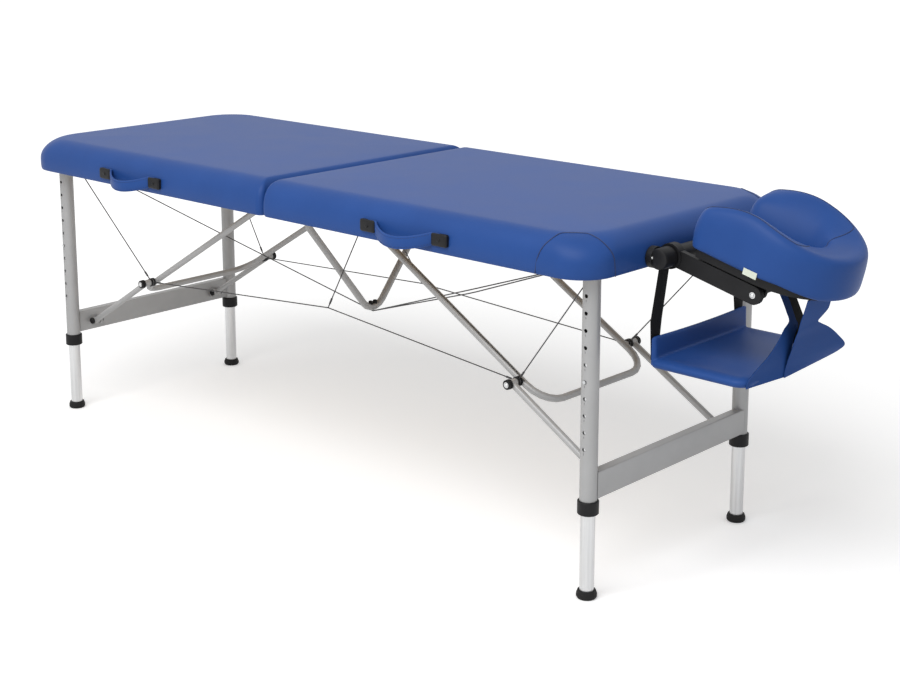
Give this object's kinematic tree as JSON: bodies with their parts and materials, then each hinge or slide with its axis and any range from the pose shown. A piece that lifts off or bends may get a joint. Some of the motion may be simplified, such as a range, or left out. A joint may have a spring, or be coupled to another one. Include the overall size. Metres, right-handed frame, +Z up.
{
  "type": "portable massage table",
  "caption": "Folding two-section massage table on telescopic aluminium legs with cable bracing, blue padded top, tilting horseshoe headrest and hanging forearm shelf.",
  "frame": {"origin": "on the floor under the middle of the whole part's box", "axes": "+X along the table towards the headrest, +Y across it away from the carrying straps, +Z up"},
  "size_m": [2.225, 0.7428, 0.7977],
  "materials": {
    "padding": "satin",
    "plywood": "matte",
    "steel": "satin",
    "satin_tube": "satin",
    "silver_paint": "satin",
    "bright_aluminium": "polished",
    "black_plastic": "satin",
    "black_rubber": "matte",
    "black_webbing": "matte",
    "cable_steel": "satin"
  },
  "bodies": {
    "hinge_core": {"centre_bow": "satin_tube", "ridge_cable_front": "cable_steel", "ridge_cable_back": "cable_steel", "bow_cable": "cable_steel"},
    "left_panel": {"cushion_left": "padding", "skirt_left": "padding", "board_left": "plywood", "frame_left": "plywood", "handle_left": "padding", "hinge_plate_left_front": "steel", "hinge_plate_left_back": "steel", "side_cable_left_front": "cable_steel", "side_cable_left_back": "cable_steel"},
    "right_panel": {"cushion_right": "padding", "skirt_right": "padding", "board_right": "plywood", "frame_right": "plywood", "handle_right": "padding", "hinge_plate_right_front": "steel", "hinge_plate_right_back": "steel", "side_cable_right_front": "cable_steel", "side_cable_right_back": "cable_steel"},
    "left_legs": {"crossbar_left": "silver_paint", "leg_tube_left_front": "silver_paint", "leg_tube_left_back": "silver_paint", "collar_left_front": "black_plastic", "collar_left_back": "black_plastic"},
    "right_legs": {"crossbar_right": "silver_paint", "leg_tube_right_front": "silver_paint", "leg_tube_right_back": "silver_paint", "collar_right_front": "black_plastic", "collar_right_back": "black_plastic"},
    "left_brace": {"brace_left": "satin_tube"},
    "right_brace": {"brace_right": "satin_tube"},
    "left_struts": {"strut_left_front": "satin_tube", "strut_left_back": "satin_tube"},
    "right_struts": {"strut_right_front": "satin_tube", "strut_right_back": "satin_tube"},
    "left_front_extension": {"leg_inner_left_front": "bright_aluminium", "foot_left_front": "black_rubber"},
    "left_back_extension": {"leg_inner_left_back": "bright_aluminium", "foot_left_back": "black_rubber"},
    "right_front_extension": {"leg_inner_right_front": "bright_aluminium", "foot_right_front": "black_rubber"},
    "right_back_extension": {"leg_inner_right_back": "bright_aluminium", "foot_right_back": "black_rubber"},
    "left_front_button": {"leg_button_left_front": "steel"},
    "left_back_button": {"leg_button_left_back": "steel"},
    "right_front_button": {"leg_button_right_front": "steel"},
    "right_back_button": {"leg_button_right_back": "steel"},
    "headrest_mount": {"headrest_base": "black_plastic", "arm_shelf": "padding", "shelf_strap_front": "black_webbing", "shelf_strap_back": "black_webbing", "shelf_sling_near": "padding", "shelf_sling_far": "padding"},
    "headrest_tilt": {"headrest_arms": "black_plastic"},
    "headrest_top": {"headrest_platform": "black_plastic"},
    "headrest_pad": {"face_cushion": "padding"},
    "headrest_clamp": {"cam_lever": "black_plastic"}
  },
  "joints": [
    {"name": "left_fold", "type": "hinge", "parent": "hinge_core", "child": "left_panel", "pos_m": [-0.19449, 0.0214, 0.656], "axis": [0, -1, 0], "range_deg": [0, 90], "deforming": ["ridge_cable_front", "ridge_cable_back", "bow_cable"]},
    {"name": "right_fold", "type": "hinge", "parent": "hinge_core", "child": "right_panel", "pos_m": [-0.17049, 0.0214, 0.656], "axis": [0, 1, 0], "range_deg": [0, 90], "deforming": ["ridge_cable_front", "ridge_cable_back", "bow_cable"]},
    {"name": "left_leg_fold", "type": "hinge", "parent": "left_panel", "child": "left_legs", "pos_m": [-1.06249, 0.0214, 0.675], "axis": [0, -1, 0], "range_deg": [0, 90], "deforming": ["side_cable_left_front", "side_cable_left_back"]},
    {"name": "right_leg_fold", "type": "hinge", "parent": "right_panel", "child": "right_legs", "pos_m": [0.69751, 0.0214, 0.675], "axis": [0, 1, 0], "range_deg": [0, 90], "deforming": ["side_cable_right_front", "side_cable_right_back"]},
    {"name": "left_brace_swing", "type": "hinge", "parent": "left_panel", "child": "left_brace", "pos_m": [-0.28249, 0.0214, 0.693], "axis": [0, 1, 0], "range_deg": [0, 30.8]},
    {"name": "right_brace_swing", "type": "hinge", "parent": "right_panel", "child": "right_brace", "pos_m": [-0.08249, 0.0214, 0.693], "axis": [0, -1, 0], "range_deg": [0, 30.8]},
    {"name": "left_strut_swing", "type": "hinge", "parent": "left_legs", "child": "left_struts", "pos_m": [-1.04549, 0.0214, 0.235], "axis": [0, -1, 0], "range_deg": [0, 58.7]},
    {"name": "right_strut_swing", "type": "hinge", "parent": "right_legs", "child": "right_struts", "pos_m": [0.68051, 0.0214, 0.235], "axis": [0, 1, 0], "range_deg": [0, 58.7]},
    {"name": "left_front_lengthen", "type": "slide", "parent": "left_legs", "child": "left_front_extension", "axis": [0, 0, -1], "range_m": [-0.138, 0.138], "deforming": ["leg_button_left_front"]},
    {"name": "left_back_lengthen", "type": "slide", "parent": "left_legs", "child": "left_back_extension", "axis": [0, 0, -1], "range_m": [-0.138, 0.138], "deforming": ["leg_button_left_back"]},
    {"name": "right_front_lengthen", "type": "slide", "parent": "right_legs", "child": "right_front_extension", "axis": [0, 0, -1], "range_m": [-0.138, 0.138], "deforming": ["leg_button_right_front"]},
    {"name": "right_back_lengthen", "type": "slide", "parent": "right_legs", "child": "right_back_extension", "axis": [0, 0, -1], "range_m": [-0.138, 0.138], "deforming": ["leg_button_right_back"]},
    {"name": "left_front_button_press", "type": "slide", "parent": "left_front_extension", "child": "left_front_button", "axis": [0, 1, 0], "range_m": [0, 0.0042], "stiffness_N_per_m": 1500},
    {"name": "left_back_button_press", "type": "slide", "parent": "left_back_extension", "child": "left_back_button", "axis": [0, -1, 0], "range_m": [0, 0.0042], "stiffness_N_per_m": 1500},
    {"name": "right_front_button_press", "type": "slide", "parent": "right_front_extension", "child": "right_front_button", "axis": [0, 1, 0], "range_m": [0, 0.0042], "stiffness_N_per_m": 1500},
    {"name": "right_back_button_press", "type": "slide", "parent": "right_back_extension", "child": "right_back_button", "axis": [0, -1, 0], "range_m": [0, 0.0042], "stiffness_N_per_m": 1500},
    {"name": "headrest_slide", "type": "slide", "parent": "right_panel", "child": "headrest_mount", "axis": [1, 0, 0], "range_m": [0, 0.11]},
    {"name": "arm_tilt", "type": "hinge", "parent": "headrest_mount", "child": "headrest_tilt", "pos_m": [0.77451, 0.0214, 0.688], "axis": [0, -1, 0], "range_deg": [-25, 40], "deforming": ["shelf_sling_near", "shelf_sling_far"]},
    {"name": "platform_tilt", "type": "hinge", "parent": "headrest_tilt", "child": "headrest_top", "pos_m": [0.96178, 0.0214, 0.64131], "axis": [0, 1, 0], "range_deg": [0, 35], "deforming": ["shelf_sling_far"]},
    {"name": "cushion_lift", "type": "slide", "parent": "headrest_top", "child": "headrest_pad", "axis": [0.2419, 0, 0.9703], "range_m": [0, 0.1]},
    {"name": "cam_swing", "type": "hinge", "parent": "headrest_tilt", "child": "headrest_clamp", "pos_m": [0.82303, 0.0214, 0.6759], "axis": [0, 1, 0], "range_deg": [0, 70]}
  ],
  "couplings": [
    {"joint": "left_brace_swing", "follows": "left_leg_fold", "ratio": 0.342},
    {"joint": "right_brace_swing", "follows": "right_leg_fold", "ratio": 0.342},
    {"joint": "left_strut_swing", "follows": "left_leg_fold", "ratio": 0.652},
    {"joint": "right_strut_swing", "follows": "right_leg_fold", "ratio": 0.652}
  ]
}
